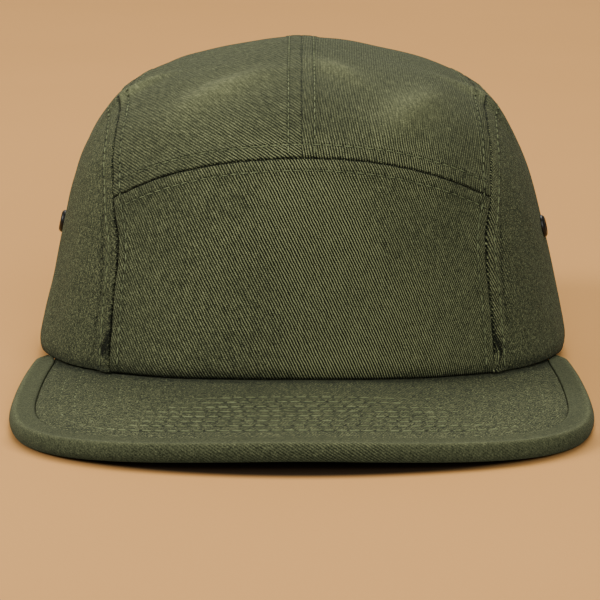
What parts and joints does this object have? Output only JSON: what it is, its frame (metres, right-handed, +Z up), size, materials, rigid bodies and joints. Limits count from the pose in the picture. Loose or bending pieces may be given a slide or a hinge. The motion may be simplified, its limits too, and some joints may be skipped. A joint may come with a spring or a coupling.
{
  "type": "jockey cap",
  "caption": "Panelled cloth cap with an arched front, a flat stitched bill, side eyelets and an adjustable strap across the back opening.",
  "frame": {"origin": "on the surface the cap stands on, under the middle of the whole cap", "axes": "+Z up, the bill points along -Y, +X is the wearer's left"},
  "size_m": [0.1758, 0.2525, 0.1007],
  "materials": {
    "twill": "olive green cotton twill, matte",
    "binding": "olive green bias twill, matte",
    "lining_tape": "olive green cotton tape, matte",
    "strap": "olive green cotton webbing, matte",
    "black_metal": "black enamelled, satin"
  },
  "bodies": {
    "root": {"front_panel": "twill", "top_panel_left": "twill", "top_panel_right": "twill", "side_panel_left": "twill", "side_panel_right": "twill", "bill": "twill", "bill_binding": "binding", "sweatband": "lining_tape", "back_strap": "strap", "strap_slider": "black_metal", "eyelet_left": "black_metal", "eyelet_right": "black_metal"}
  },
  "joints": []
}
